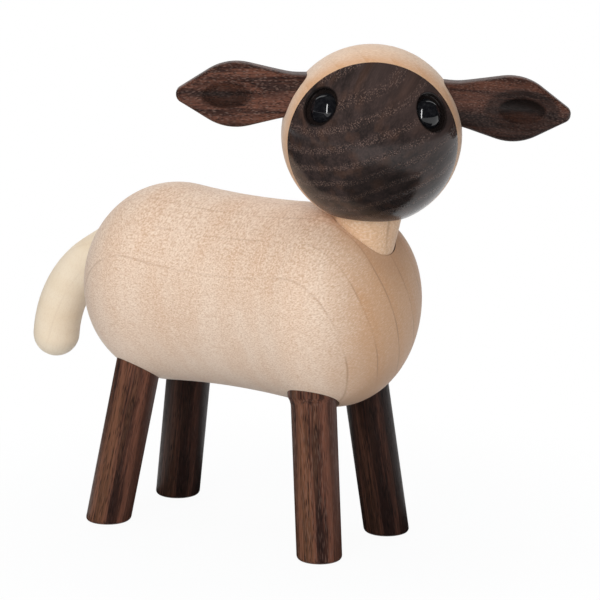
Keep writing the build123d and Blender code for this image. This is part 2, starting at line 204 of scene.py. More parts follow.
class SheepEars(bpy.types.PropertyGroup):
    """Sizes of the carved ears."""

    rise: length("Rise", "Root above the ball's middle", 9.7)
    droop: angle("Droop", "Fall of the ears from root to tip", 3.2)
    long: length("Length", "From the ball to the tip", 29.9)
    wide: length("Width", "Widest across", 17.2)
    root_wide: length("Root width", "Width at the ball", 10.8)
    tip_radius: length("Tip radius", "Rounding of the tip", 2.2)
    belly: share("Belly", "Place of the widest point", 0.48)
    belly_curve: share("Belly curve", "Radius of the belly over the length", 0.45)
    root_thick: length("Root thickness", "Thickness at the ball", 7.4)
    tip_thick: length("Tip thickness", "Thickness at the tip", 3.6)
    embed: length("Embed", "Length of the root inside the ball", 7.0)
    dish_long: length("Dish length", "Length of the shallow dish", 20.0)
    dish_wide: length("Dish width", "Width of the shallow dish", 11.6)
    dish_depth: length("Dish depth", "Depth of the shallow dish", 1.0)
    hollow_long: length("Hollow length", "Length of the deep hollow", 14.0)
    hollow_wide: length("Hollow width", "Width of the deep hollow", 7.0)
    hollow_depth: length("Hollow depth", "Depth of the deep hollow", 2.8)
    hollow_place: share("Hollow place", "Middle of the hollow along the ear", 0.57)


class SheepFinish(bpy.types.PropertyGroup):
    """Colours of the woods."""

    maple: colour("Maple", "Waxed maple of the body", 0.775, 0.593, 0.458)
    maple_shade: colour("Maple shade", "Darker bands of the maple", 0.70, 0.475, 0.33)
    # The fleck colour also paints the shade round the mouth of the neck's bore.
    maple_fleck_and_shade: colour("Maple fleck", "Ray flecks in the maple", 0.50, 0.285, 0.165)
    maple_glint: colour("Maple glint", "Pale wood between the rays", 0.90, 0.73, 0.59)
    maple_line: colour("Maple line", "Growth lines in the maple", 0.42, 0.235, 0.14)
    amber: colour("Amber maple", "Warmer maple of the neck", 0.775, 0.505, 0.315)
    # On the chest this amber also stands for painted shade.
    amber_shade: colour("Amber shade", "Amber bands of neck, seam and chest", 0.64, 0.36, 0.195)
    cream: colour("Cream maple", "Paler maple of the tail", 0.88, 0.735, 0.56)
    cream_shade: colour("Cream shade", "Darker bands of the tail", 0.81, 0.64, 0.45)
    oak: colour("Smoked oak", "Dark wood between the streaks", 0.032, 0.0135, 0.0100)
    # Painted shade: the oak of the far legs, darker where the body shades them.
    oak_shadow: colour("Oak shadow", "Darkest dowels of the legs", 0.019, 0.0085, 0.0068)
    oak_streak: colour("Oak streak", "Lighter streaks of the dark wood", 0.168, 0.064, 0.039)
    oak_pore: colour("Oak pore", "Waxed pores of the dark wood", 0.24, 0.15, 0.118)
    oak_amber: colour("Oak amber", "Orange streaks of the dark wood", 0.205, 0.088, 0.042)
    # Also the painted shade in the eyes' recesses, on the muzzle and in the ears' hollows.
    oak_deep_and_shade: colour("Oak deep", "Deep pores and waxed hollows", 0.008, 0.006, 0.0055)
    face: colour("Face", "Darkest wood of the face", 0.0170, 0.0132, 0.0125)
    # Also the painted light on the top of the face.
    face_streak_and_light: colour("Face streak", "Lighter bands of the face", 0.077, 0.050, 0.044)


class Sheep(bpy.types.PropertyGroup):
    """All the settings of the sheep."""

    body: bpy.props.PointerProperty(type=SheepBody, name="Body", description="Turned body")
    legs: bpy.props.PointerProperty(type=SheepLegs, name="Legs", description="Dowel legs")
    tail: bpy.props.PointerProperty(type=SheepTail, name="Tail", description="Bent tail")
    neck: bpy.props.PointerProperty(type=SheepNeck, name="Neck", description="Turning neck")
    head: bpy.props.PointerProperty(type=SheepHead, name="Head", description="Ball head")
    ears: bpy.props.PointerProperty(type=SheepEars, name="Ears", description="Carved ears")
    finish: bpy.props.PointerProperty(type=SheepFinish, name="Finish", description="Woods")


class Wire:
    """A shader socket that takes part in Python arithmetic."""

    def __init__(self, recipe, socket):
        self.recipe = recipe
        self.socket = socket

    def math(self, operation, first, second=0.0):
        return self.recipe.node("ShaderNodeMath", {"operation": operation}, {0: first, 1: second})

    def __add__(self, other):
        return self.math("ADD", self, other)

    def __radd__(self, other):
        return self.math("ADD", other, self)

    def __sub__(self, other):
        return self.math("SUBTRACT", self, other)

    def __rsub__(self, other):
        return self.math("SUBTRACT", other, self)

    def __mul__(self, other):
        return self.math("MULTIPLY", self, other)

    def __rmul__(self, other):
        return self.math("MULTIPLY", other, self)

    def __truediv__(self, other):
        return self.math("DIVIDE", self, other)

    def __pow__(self, other):
        return self.math("POWER", self, other)

    def __abs__(self):
        return self.math("ABSOLUTE", self)

    def fraction(self):
        return self.math("FRACT", self)

    def root(self):
        return self.math("SQRT", self)

    def either(self, other):
        return self.math("MAXIMUM", self, other)

    def step(self, low, high):
        """0 at low and below, 1 at high and above, and smooth between them."""
        inputs = {"Value": self, "From Min": low, "From Max": high}
        return self.recipe.node(
            "ShaderNodeMapRange", {"interpolation_type": "SMOOTHSTEP"}, inputs
        )

    def fade(self, low, high):
        """1 at low and below, 0 at high and above, and smooth between them."""
        return 1 - self.step(low, high)


class Nodes:
    """The node tree of a material or a world, written as Python arithmetic."""

    def __init__(self, owner, output):
        owner.use_nodes = True
        self.tree = owner.node_tree
        self.tree.nodes.clear()
        self.output = self.tree.nodes.new(output)

    def feed(self, socket, value):
        """Links a wire to a socket, or sets the socket's own value."""
        if isinstance(value, Wire):
            self.tree.links.new(value.socket, socket)
        else:
            socket.default_value = value

    def node(self, kind, settings=None, inputs=None, output=0):
        """Adds a node, sets it up, feeds its sockets and returns one of its outputs."""
        made = self.tree.nodes.new(kind)
        for name, value in (settings or {}).items():
            setattr(made, name, value)
        for key, value in (inputs or {}).items():
            self.feed(made.inputs[key], value)
        return Wire(self, made.outputs[output])

    def surface(self, shader):
        """Makes a shader the one that shows."""
        self.feed(self.output.inputs["Surface"], shader)

    def blend(self, first, second, factor):
        """Blends two shaders."""
        return self.node("ShaderNodeMixShader", inputs={0: factor, 1: first, 2: second})

    def seen_directly(self):
        """1 for rays from the camera, a mirror or glass and 0 for the light itself."""
        seen = self.node("ShaderNodeLightPath", output="Is Camera Ray")
        rays = seen.socket.node.outputs
        for ray in ("Is Glossy Ray", "Is Transmission Ray"):
            seen = seen.either(Wire(self, rays[ray]))
        return seen


class Recipe(Nodes):
    """A material's node tree, with its Principled shader as self.shader."""

    def __init__(self, name):
        self.material = bpy.data.materials.new(name)
        super().__init__(self.material, "ShaderNodeOutputMaterial")
        self.shader = self.node("ShaderNodeBsdfPrincipled")
        self.surface(self.shader)

    def set(self, **inputs):
        """Feeds the Principled shader; underscores stand for spaces."""
        for name, value in inputs.items():
            self.feed(self.shader.socket.node.inputs[name.replace("_", " ")], value)

    def place(self):
        """Object coordinates, in metres."""
        return self.node("ShaderNodeTexCoord", output="Object")

    def vector(self, operation, first, second=ORIGIN, output="Vector"):
        """Vector Math of a wire with a point or a direction."""
        inputs = {0: first, 1: tuple(second)}
        return self.node("ShaderNodeVectorMath", {"operation": operation}, inputs, output)

    def along(self, point, origin, direction):
        """Millimetres from a point of the object along a direction."""
        rel = self.vector("SUBTRACT", point, origin)
        return self.vector("DOT_PRODUCT", rel, direction, "Value") / MM

    def aside(self, point, origin, axis):
        """Millimetres from an axis through a point of the object."""
        lever = self.vector("CROSS_PRODUCT", self.vector("SUBTRACT", point, origin), axis)
        return self.vector("LENGTH", lever, output="Value") / MM

    def point(self, x, y, z):
        return self.node("ShaderNodeCombineXYZ", inputs={0: x, 1: y, 2: z})

    def noise(self, point, scale=1.0, detail=2.0, roughness=0.5):
        inputs = {"Vector": point, "Scale": scale, "Detail": detail, "Roughness": roughness}
        return self.node("ShaderNodeTexNoise", inputs=inputs)

    def cells(self, point):
        """Distance to the nearest of scattered points, one to each unit cell."""
        inputs = {"Vector": point, "Scale": 1.0}
        return self.node("ShaderNodeTexVoronoi", {"feature": "F1"}, inputs, "Distance")

    def mix(self, first, second, factor):
        """Blends two colours."""
        return self.node(
            "ShaderNodeMix", {"data_type": "RGBA"}, {0: factor, 6: first, 7: second}, output=2
        )

    def bump(self, height, strength, distance):
        inputs = {"Strength": strength, "Distance": distance, "Height": height}
        self.set(Normal=self.node("ShaderNodeBump", inputs=inputs))


class Cut(NamedTuple):
    """How a piece lies in its log.

    grain runs along the fibres and radial out from the pith, which lies at pith millimetres
    from the origin along radial and across it. spacing is that of the rings, in millimetres.
    """

    origin: Vector
    grain: Vector
    radial: Vector
    pith: tuple
    spacing: float

    def directions(self, wood, spot):
        """Millimetres out from the pith, round it and along the fibres."""
        ways = (self.radial, self.grain.cross(self.radial), self.grain)
        return [wood.along(spot, self.origin, way) for way in ways]

    def ring(self, r, t, waver):
        """Distance from the pith, and how far through its growth ring that is."""
        reach = ((r - self.pith[0]) ** 2 + (t - self.pith[1]) ** 2).root() + waver
        return reach, (reach / self.spacing).fraction()


class Warmth(NamedTuple):
    """Wood that warms up between two distances along a direction, in millimetres; on the chest it
    also paints shade, on the face's brow it paints light.
    """

    direction: Vector
    start: float
    full: float
    strength: float

    def mask(self, wood, spot, origin, patches):
        """0 before start and 1 past full, with an uneven border."""
        reach = wood.along(spot, origin, self.direction)
        return (reach + (patches - 0.5) * (self.full - self.start)).step(self.start, self.full)


class OakLook(NamedTuple):
    """How strongly the figure of one piece of smoked oak shows."""

    lift: float = 0.0  # towards the lighter wood
    contrast: float = 1.0  # of the streaks
    rows: float = 0.22  # width of the rows of pores in a ring
    bands: float = 0.0  # how much lighter those rows are
    pores: float = 0.5  # how pale the wax in the pores is
    coarse: float = 1.0  # size of the pores
    stretch: float = 0.30  # their width over their length
    amber: float = 0.12  # strength of the orange streaks
    gloss: float = 0.42  # roughness of the surface
    shine: float = 0.2  # strength of reflections


def opaque(rgb):
    """A stored colour as a shader colour."""
    return (*rgb, 1.0)


def settings():
    return bpy.context.scene.sheep


def pale_wood(name, light, shade, cut, flecks, lines, warm=None, mouth_shade=None):
    """Waxed maple: faint bands and thin growth lines round a pith, fibres and ray flecks.

    flecks and lines are how strongly rays and growth lines show. warm says where the wood
    turns amber, which on the chest also paints shade, and the last argument is a mask of painted
    shade.
    """
    tints = settings().finish
    wood = Recipe(name)
    spot = wood.place()
    r, t, g = cut.directions(wood, spot)

    drift = wood.noise(wood.point(r * 0.03, t * 0.03, g * 0.012), detail=3.0) - 0.5
    ring, phase = cut.ring(r, t, drift * 2.0)
    band = wood.noise(wood.point(ring * 0.35, 0.0, 0.0), detail=3.0)
    patch = wood.noise(wood.point(r * 0.06, t * 0.06, g * 0.04), detail=3.0)
    curl = wood.noise(wood.point(r * 0.03, t * 0.05, g * 0.16 + t * 0.03), detail=2.0) - 0.5
    fibre = wood.noise(wood.point(r * 1.6, t * 2.6, g * 0.9), detail=3.0, roughness=0.6)
    broken = wood.noise(wood.point(r * 0.08, t * 0.08, g * 0.08), detail=3.0)
    line = abs(phase - 0.5).fade(0.0, 0.045) * (0.15 + broken.step(0.40, 0.62) * 0.85)

    ridge = t.step(12.0, 22.0)
    flakes = wood.noise(wood.point(r * 0.9, t * 2.8, g * 1.3), detail=1.0) + ridge * 0.05
    rays = wood.noise(wood.point(r * 1.2, t * 3.9 + 40.0, g * 2.1), detail=1.0)
    thick = (t + patch * 40.0).step(-12.0, 34.0) * 0.65 + 0.35
    fleck = (flakes.step(0.60, 0.74) * 0.9).either(rays.step(0.50, 0.68) * 0.9) * thick
    glint = rays.fade(0.34, 0.46) * thick

    tone = wood.mix(
        opaque(light), opaque(shade), band * 0.30 + patch * 0.40 + curl * 2.0 - 0.12
    )
    # Amber wood; on the chest the amber also paints the shade of the side turned from the key
    # light.
    if warm:
        amber_and_shade = warm.mask(wood, spot, cut.origin, patch)
        late = phase.step(0.10, 0.50) * phase.fade(0.50, 0.54) * 0.35
        tone = wood.mix(tone, opaque(tints.amber_shade), amber_and_shade * (warm.strength + late))
        line = line * (0.5 + amber_and_shade * 0.5)
        fleck = fleck * (1 - amber_and_shade * 0.45)
        glint = glint * (1 - amber_and_shade * 0.6)
    tone = wood.mix(tone, opaque(shade), fibre.step(0.45, 0.75) * 0.45)
    tone = wood.mix(tone, opaque(tints.maple_fleck_and_shade), fleck * flecks)
    tone = wood.mix(tone, opaque(tints.maple_glint), glint * flecks)
    tone = wood.mix(tone, opaque(tints.maple_line), line * lines)
    # Painted shade round the mouth of the neck's bore.
    if mouth_shade:
        tone = wood.mix(tone, opaque(tints.maple_fleck_and_shade), mouth_shade(wood, spot))
    wood.set(Base_Color=tone, Roughness=0.44 + fibre * 0.16 + fleck * 0.08)
    wood.set(Specular_IOR_Level=0.25, Sheen_Weight=0.12, Sheen_Roughness=0.4)
    wood.bump(fibre * 0.5 - fleck * 0.6, 0.20, 0.00012)
    return wood.material


def dark_wood(name, tones, cut, look, warm=None, painted_shade=None):
    """Smoked oak: streaks along the fibres and rows of waxed and open pores in each ring.

    tones are its darkest and its lighter wood. warm says where the lighter takes over, which
    on the face's brow is painted light, and the last argument is a mask of painted shade.
    """
    tints = settings().finish
    dark, light = (opaque(tone) for tone in tones)
    wood = Recipe(name)
    spot = wood.place()
    r, t, g = cut.directions(wood, spot)

    drift = wood.noise(wood.point(r * 0.05, t * 0.05, g * 0.02), detail=3.0) - 0.5
    _, phase = cut.ring(r, t, drift * 5.0)
    ragged = wood.noise(wood.point(r * 0.5, t * 0.5, g * 0.12), detail=3.0) - 0.5
    off_row = abs(phase - 0.5 + ragged * look.rows)
    porous = off_row.fade(look.rows * 0.4, look.rows * 1.3)

    streak = wood.noise(wood.point(r * 0.40, t * 0.40, g * 0.014), detail=4.0, roughness=0.6)
    orange = wood.noise(wood.point(r * 0.26 + 7.0, t * 0.26, g * 0.012), detail=2.0)
    thread = wood.noise(wood.point(r * 2.2, t * 2.2, g * 0.08), detail=3.0, roughness=0.6)
    cloud = wood.noise(wood.point(r * 0.10, t * 0.10, g * 0.05), detail=2.0)

    fine = 2.8 / look.coarse
    dashes = wood.cells(wood.point(r * fine, t * fine, g * fine * look.stretch))
    specks = wood.cells(wood.point(r * fine + 11.0, t * fine, g * fine * look.stretch * 0.9))
    waxed = dashes.fade(0.18, 0.46) * porous
    opened = specks.fade(0.18, 0.44) * (0.12 + porous * 0.88)

    warmth = streak.step(0.36, 0.66) * 0.60 + thread.step(0.40, 0.75) * 0.50 + cloud * 0.30
    lightness = (warmth - 0.54) * look.contrast + 0.28 + look.lift + porous * look.bands
    tone = wood.mix(dark, light, lightness)
    tone = wood.mix(tone, opaque(tints.oak_amber), orange.step(0.50, 0.72) * look.amber)
    tone = wood.mix(tone, opaque(tints.oak_deep_and_shade), opened * 0.75)
    tone = wood.mix(tone, opaque(tints.oak_pore), waxed * look.pores)
    # Lighter wood where warm reaches; on the face's brow this is painted light.
    if warm:
        tone = wood.mix(tone, light, warm.mask(wood, spot, cut.origin, cloud) * warm.strength)
    # Painted shade from the mask: in the eyes' recesses, on the muzzle and in the ears' hollows.
    if painted_shade:
        tone = wood.mix(tone, opaque(tints.oak_deep_and_shade), painted_shade(wood, spot))
    wood.set(Base_Color=tone, Roughness=look.gloss + thread * 0.08 + opened * 0.15)
    wood.set(Specular_IOR_Level=look.shine)
    wood.bump(waxed * 0.3 - opened + thread * 0.25, 0.30, 0.00018)
    return wood.material


def black_gloss(name):
    """Polished bead, with a breath of dust so that it isn't a perfect mirror."""
    bead = Recipe(name)
    dust = bead.noise(bead.place(), scale=900.0, detail=3.0)
    tone = bead.mix((0.004, 0.004, 0.005, 1.0), (0.012, 0.012, 0.013, 1.0), dust.step(0.4, 0.8))
    bead.set(Base_Color=tone, Roughness=0.05 + dust * 0.05)
    return bead.material


def soft_rubber(name):
    """Moulded rubber of the friction ring."""
    rubber = Recipe(name)
    grit = rubber.noise(rubber.place(), scale=2500.0, detail=2.0)
    tone = rubber.mix((0.012, 0.012, 0.012, 1.0), (0.03, 0.03, 0.03, 1.0), grit)
    rubber.set(Base_Color=tone, Roughness=0.6 + grit * 0.2)
    rubber.bump(grit, 0.2, 0.00005)
    return rubber.material


class Outline:
    """Half section of a turned piece, drawn as radius and height, then turned about Z."""

    def __init__(self, radius, height):
        self.bm = bmesh.new()
        self.last = self.bm.verts.new((radius, 0, height))

    def line(self, radius, height):
        """Straight run to a corner."""
        corner = self.bm.verts.new((radius, 0, height))
        self.bm.edges.new((self.last, corner))
        self.last = corner
        return self

    def arc(self, centre, end, steps):
        """Round run about a centre to a corner."""
        start = Vector((self.last.co.x, self.last.co.z)) - Vector(centre)
        finish = Vector(end) - Vector(centre)
        swing = math.atan2(
            start.y * finish.x - start.x * finish.y, start.x * finish.x + start.y * finish.y
        )
        made = bmesh.ops.spin(
            self.bm,
            geom=[self.last],
            cent=(centre[0], 0, centre[1]),
            axis=(0, 1, 0),
            angle=swing,
            steps=steps,
        )
        self.last = next(g for g in made["geom_last"] if isinstance(g, bmesh.types.BMVert))
        return self

    def turn(self, steps):
        """Closed solid of the section."""
        bmesh.ops.spin(
            self.bm,
            geom=self.bm.verts[:] + self.bm.edges[:],
            cent=ORIGIN,
            axis=UP,
            angle=2 * math.pi,
            steps=steps,
            use_merge=True,
        )
        tidy(self.bm)
        return self.bm


def tidy(bm):
    """Closes poles and seams and turns all faces out."""
    bmesh.ops.remove_doubles(bm, verts=bm.verts, dist=0.000002)
    bmesh.ops.recalc_face_normals(bm, faces=bm.faces)


def loop_of(geom):
    return [g for g in geom if isinstance(g, bmesh.types.BMEdge)]


def pull_loop(bm, edges, move):
    """Pulls a new loop off an open one; move gives each corner its new place."""
    made = bmesh.ops.extrude_edge_only(bm, edges=edges)["geom"]
    corners = {g for g in made if isinstance(g, bmesh.types.BMVert)}
    for corner in corners:
        corner.co = move(corner.co)
    return [e for e in loop_of(made) if all(v in corners for v in e.verts)]


def ring_at(centre, axis, radius, height):
    """A move for pull_loop: to a radius and a height about an axis."""

    def move(co):
        rel = co - centre
        out = rel - axis * rel.dot(axis)
        return centre + out.normalized() * radius + axis * height

    return move


def cap(bm, edges):
    """Closes a flat loop with one face."""
    bmesh.ops.contextual_create(bm, geom=edges)


def slice_off(bm, point, normal):
    """Removes what lies beyond a plane and returns the open loop that is left."""
    made = bmesh.ops.bisect_plane(
        bm,
        geom=bm.verts[:] + bm.edges[:] + bm.faces[:],
        dist=0.0000005,
        plane_co=point,
        plane_no=normal,
        clear_outer=True,
    )
    return loop_of(made["geom_cut"])


def to_object(name, bm, place=Matrix.Identity(4)):
    """Moves a bmesh to its place and puts it in the scene as an object at the origin."""
    bmesh.ops.transform(bm, matrix=place, verts=bm.verts)
    mesh = bpy.data.meshes.new(name)
    bm.to_mesh(mesh)
    bm.free()
    thing = bpy.data.objects.new(name, mesh)
    bpy.context.scene.collection.objects.link(thing)
    return thing


def cut_with(thing, cutter):
    """Cuts one object out of another and removes the cutter."""
    cut = thing.modifiers.new("Sockets", "BOOLEAN")
    cut.operation = "DIFFERENCE"
    cut.solver = "EXACT"
    cut.object = cutter
    graph = bpy.context.evaluated_depsgraph_get()
    result = bpy.data.meshes.new_from_object(thing.evaluated_get(graph))
    thing.modifiers.clear()
    thing.data = result
    bpy.data.objects.remove(cutter)


def dress(thing, material, body, node, crease=35.0):
    """Smooths and paints a piece and sets it in the frame in place of its node."""
    mesh = thing.data
    mesh.materials.clear()
    mesh.materials.append(material)
    mesh.shade_smooth()
    mesh.set_sharp_from_angle(angle=math.radians(crease))
    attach(thing, body)
    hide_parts(node)


def body_middle():
    """Middle of the body's axis."""
    sizes = settings().body
    return Vector((0, CHEST_Y + sizes.long / 2, sizes.axis_height))


def shoulder_centre(shoulder_radius):
    """Centre, along the body and out from its axis, of the arc that joins waist and end."""
    sizes = settings().body
    end_centre = sizes.long / 2 - sizes.end_radius
    waist_centre = sizes.waist / 2 + sizes.waist_curve
    from_end = sizes.end_radius - shoulder_radius
    from_waist = sizes.waist_curve + shoulder_radius
    apart = math.hypot(end_centre, waist_centre)
    near = (from_end**2 - from_waist**2 + apart**2) / (2 * apart)
    aside = math.sqrt(from_end**2 - near**2)
    lengthwise = end_centre + (aside * waist_centre - near * end_centre) / apart
    outward = (near * waist_centre + aside * end_centre) / apart
    return lengthwise, outward


def body_blank():
    """Turned body with no sockets, about Z with the chest at the top."""
    sizes = settings().body
    half = sizes.long / 2
    waist = Vector((sizes.waist / 2 + sizes.waist_curve, 0))
    joins = {}
    for end, radius in ((-1, sizes.rump_shoulder), (1, sizes.chest_shoulder)):
        lengthwise, outward = shoulder_centre(radius)
        shoulder = Vector((outward, end * lengthwise))
        dome = Vector((0, end * (half - sizes.end_radius)))
        dome_join = dome + (shoulder - dome).normalized() * sizes.end_radius
        waist_join = waist + (shoulder - waist).normalized() * sizes.waist_curve
        joins[end] = (dome, dome_join, shoulder, waist_join)
    rump_dome, rump_dome_join, rump_shoulder, rump_waist = joins[-1]
    dome, dome_join, chest_shoulder, chest_waist = joins[1]
    section = Outline(0, -half)
    section.arc(rump_dome, rump_dome_join, 20)
    section.arc(rump_shoulder, rump_waist, 36)
    section.arc(waist, chest_waist, 40)
    section.arc(chest_shoulder, dome_join, 32)
    section.arc(dome, (0, half), 24)
    return section.turn(180)


def leg_place(front, side):
    """Hip of one leg, with its axis up into the body."""
    sizes = settings().legs
    setback = sizes.front_setback if front else sizes.rear_setback
    lean = sizes.front_lean if front else sizes.rear_lean
    towards_end = -1 if front else 1
    hip = body_middle() + Vector(
        (
            side * sizes.hip_spacing / 2,
            towards_end * (settings().body.long / 2 - setback),
            -sizes.hip_drop,
        )
    )
    axis = Vector((-side * math.tan(sizes.splay), -towards_end * math.tan(lean), 1)).normalized()
    return hip, axis


def upright(origin, axis):
    """Matrix that stands a piece turned about Z on a point, along an axis."""
    return Matrix.Translation(origin) @ axis.to_track_quat("Z", "Y").to_matrix().to_4x4()


def leg_blank(front, drop):
    """Dowel below its hip, with the front legs' collar and cove."""
    sizes = settings().legs
    radius = sizes.diameter / 2
    section = Outline(0, 0)
    if front:
        collar = sizes.collar / 2
        step = collar - radius
        cove = (step**2 + sizes.cove_length**2) / (2 * step)
        cove_foot = -sizes.collar_length - sizes.cove_length
        section.line(collar, 0).line(collar, -sizes.collar_length)
        section.arc((radius + cove, cove_foot), (radius, cove_foot), 10)
    else:
        section.line(radius, 0)
    section.line(radius, -drop).line(0, -drop)
    return section.turn(96)


def tail_root():
    """Point on the rump that the tail's axis passes, and its direction there."""
    sizes = settings().tail
    start = body_middle() + Vector((0, settings().body.long / 2, sizes.root_rise))
    return start, Vector((0, math.cos(sizes.root_slope), -math.sin(sizes.root_slope)))


def neck_heights():
    """Bore's floor, foot of the taper and flat of the ball, up the neck from the ball's centre."""
    sizes = settings()
    rise = (BALL_CENTRE.z - sizes.body.axis_height) / NECK_AXIS.z
    flat = sizes.head.flat_depth - sizes.head.ball / 2
    return sizes.neck.floor_rise - rise, flat - sizes.neck.taper_length, flat


def neck_matrix():
    """Ball's centre, with Z up the neck and X to the body's left."""
    back = NECK_AXIS.cross(LEFT)
    turn = Matrix((LEFT, back, NECK_AXIS)).transposed().to_4x4()
    return Matrix.Translation(BALL_CENTRE) @ turn


def head_matrix():
    """Ball's centre, turned with the head: -Y along the face and X to the head's left."""
    return neck_matrix() @ Matrix.Rotation(settings().head.turn, 4, "Z")


def rod(radius, height):
    """Plain round rod from the origin up or down Z."""
    return Outline(0, 0).line(radius, 0).line(radius, height).line(0, height).turn(96)


def socket_cutter():
    """All the body's sockets in one mesh: legs, tail and the neck's bore."""
    sizes = settings()
    parts = []
    for front in (True, False):
        for side in (-1, 1):
            hip, axis = leg_place(front, side)
            radius = (sizes.legs.collar if front else sizes.legs.diameter) / 2 + GLUE_GAP
            parts.append((rod(radius, -LEG_HOLE), upright(hip, axis)))
    start, heading = tail_root()
    radius = sizes.tail.diameter / 2 + GLUE_GAP
    inner = start - heading * sizes.tail.socket_depth
    parts.append((rod(radius, TAIL_HOLE), upright(inner, heading)))
    floor, taper_foot, flat = neck_heights()
    bearing = sizes.neck.diameter / 2 + sizes.neck.running_clearance
    mouth_foot = sizes.neck.diameter / 2 + sizes.neck.mouth_relief
    mouth_top = sizes.neck.top_diameter / 2 + sizes.neck.mouth_relief
    bore = Outline(0, floor).line(bearing, floor).line(bearing, taper_foot)
    bore.line(mouth_foot, taper_foot).line(mouth_top, flat).line(0, flat)
    parts.append((bore.turn(128), neck_matrix()))
    whole = bmesh.new()
    for hole, place in parts:
        bmesh.ops.transform(hole, matrix=place, verts=hole.verts)
        scrap = bpy.data.meshes.new("scrap")
        hole.to_mesh(scrap)
        hole.free()
        whole.from_mesh(scrap)
        bpy.data.meshes.remove(scrap)
    bmesh.ops.recalc_face_normals(whole, faces=whole.faces)
    return to_object("sockets", whole)


class SHEEP_OT_body(bpy.types.Operator):
    """Turns the maple body and cuts its sockets and the neck's bore"""

    bl_idname = "sheep.body"
    bl_label = "Body"

    def execute(self, context):
        tints = settings().finish
        lying = Matrix.Translation(body_middle()) @ Matrix.Rotation(math.pi / 2, 4, "X")
        body = to_object("maple_body", body_blank(), lying)
        cut_with(body, socket_cutter())
        mouth = settings().neck.top_diameter / 2 / MM

        def neck_mouth_shade(wood, spot):
            """Painted shade on the body round the mouth of the neck's bore, where the head and neck
            shade it.
            """
            off = wood.aside(spot, BALL_CENTRE, NECK_AXIS)
            return off.fade(mouth - 0.6, mouth + 3.4) * 0.54

        ring_normal = Vector((0.92, 0.0, 0.39)).normalized()
        cut = Cut(body_middle(), FORWARD, ring_normal, pith=(142.65, 0.0), spacing=8.3)
        # Amber wood and painted shade: the chest darkens on its side turned away from the key
        # light.
        chest = Warmth(Vector((0.55, -0.83, 0.0)), start=18.0, full=34.0, strength=0.90)
        wood = pale_wood(
            "maple_body", tints.maple, tints.maple_shade, cut, flecks=0.54, lines=0.80,
            warm=chest, mouth_shade=neck_mouth_shade,
        )
        dress(body, wood, "body", "body")
        return {"FINISHED"}


class SHEEP_OT_legs(bpy.types.Operator):
    """Makes the four dowel legs, cut flat at the table and softened at the sole"""

    bl_idname = "sheep.legs"
    bl_label = "Legs"

    def execute(self, context):
        sizes = settings().legs
        tints = settings().finish
        # Painted light and shade: the near legs take a lit copy of the oak, and the far legs, which
        # the body shades, a darker shaded copy.
        lit = OakLook(rows=0.55, coarse=0.85, stretch=0.10, amber=0.42)
        shaded = lit._replace(lift=-0.22, pores=0.05, amber=0.10)
        looks = {
            ("front", "right"): lit._replace(lift=0.12, contrast=1.9, pores=0.32),
            ("rear", "right"): lit._replace(lift=0.08, contrast=1.7, pores=0.12),
            ("front", "left"): shaded._replace(contrast=0.6),
            ("rear", "left"): shaded._replace(contrast=0.5),
        }
        # The near legs turn to their lighter wood on the side to the right as seen from the camera.
        right_side_strengths = {("front", "right"): 0.48, ("rear", "right"): 0.32}
        for end, front in (("front", True), ("rear", False)):
            for hand, side in HANDS:
                hip, axis = leg_place(front, side)
                drop = hip.z / axis.z + sizes.diameter
                bm = leg_blank(front, drop)
                bmesh.ops.transform(bm, matrix=upright(hip, axis), verts=bm.verts)
                sole = slice_off(bm, ORIGIN, -UP)
                cap(bm, sole)
                bmesh.ops.bevel(
                    bm,
                    geom=sole,
                    offset=sizes.foot_edge,
                    segments=6,
                    profile=0.5,
                    affect="EDGES",
                    material=-1,
                )
                tidy(bm)
                node = f"{end}_{hand}_leg"
                leg = to_object(f"oak_{node}", bm)
                radial = axis.cross(FORWARD).normalized()
                pith = (-16.0 - 5.0 * side, 9.0 if front else -12.0)
                cut = Cut(hip, axis, radial, pith, spacing=3.4)
                strength = right_side_strengths.get((end, hand), 0.0)
                warm = Warmth(axis.cross(VIEW_BACK).normalized(), 0.0, 6.0, strength)
                # Painted shade: the far legs take the darker oak_shadow colour.
                tones = (tints.oak if hand == "right" else tints.oak_shadow, tints.oak_streak)
                wood = dark_wood(f"smoked_oak_{node}", tones, cut, looks[end, hand], warm)
                dress(leg, wood, "body", node)
        return {"FINISHED"}


class SHEEP_OT_tail(bpy.types.Operator):
    """Bends the tail's rod down in one arc and rounds its end"""

    bl_idname = "sheep.tail"
    bl_label = "Tail"

    def execute(self, context):
        sizes = settings().tail
        tints = settings().finish
        radius = sizes.diameter / 2
        start, heading = tail_root()
        inner = start - heading * sizes.socket_depth
        bend_start = start + heading * sizes.straight
        inward = Vector((0, heading.z, -heading.y))
        bend_centre = bend_start + inward * sizes.bend_radius
        sweep = sizes.tip_slope - sizes.root_slope
        bm = bmesh.new()
        bmesh.ops.create_circle(bm, segments=80, radius=radius)
        bmesh.ops.transform(bm, matrix=upright(inner, heading), verts=bm.verts)
        first = bm.edges[:]
        reach = heading * (sizes.socket_depth + sizes.straight)
        loop = pull_loop(bm, first, lambda co: co + reach)
        cap(bm, first)
        corners = list({v for edge in loop for v in edge.verts})
        made = bmesh.ops.spin(
            bm, geom=corners + loop, cent=bend_centre, axis=-LEFT, angle=sweep, steps=48
        )
        loop = loop_of(made["geom_last"])
        tip = bend_centre + Matrix.Rotation(sweep, 3, -LEFT) @ (bend_start - bend_centre)
        ahead = Matrix.Rotation(sweep, 3, -LEFT) @ heading
        rings = 16
        for ring in range(1, rings):
            lift = ring / rings * math.pi / 2
            spot = ring_at(tip, ahead, radius * math.cos(lift), radius * math.sin(lift))
            loop = pull_loop(bm, loop, spot)
        loop = pull_loop(bm, loop, lambda co: tip + ahead * radius)
        tidy(bm)
        tail = to_object("cream_tail", bm)
        grain = (heading + ahead).normalized()
        cut = Cut(start, grain, LEFT, pith=(40.0, 8.0), spacing=5.5)
        wood = pale_wood(
            "cream_tail", tints.cream, tints.cream_shade, cut, flecks=0.10, lines=0.10
        )
        dress(tail, wood, "body", "tail")
        return {"FINISHED"}


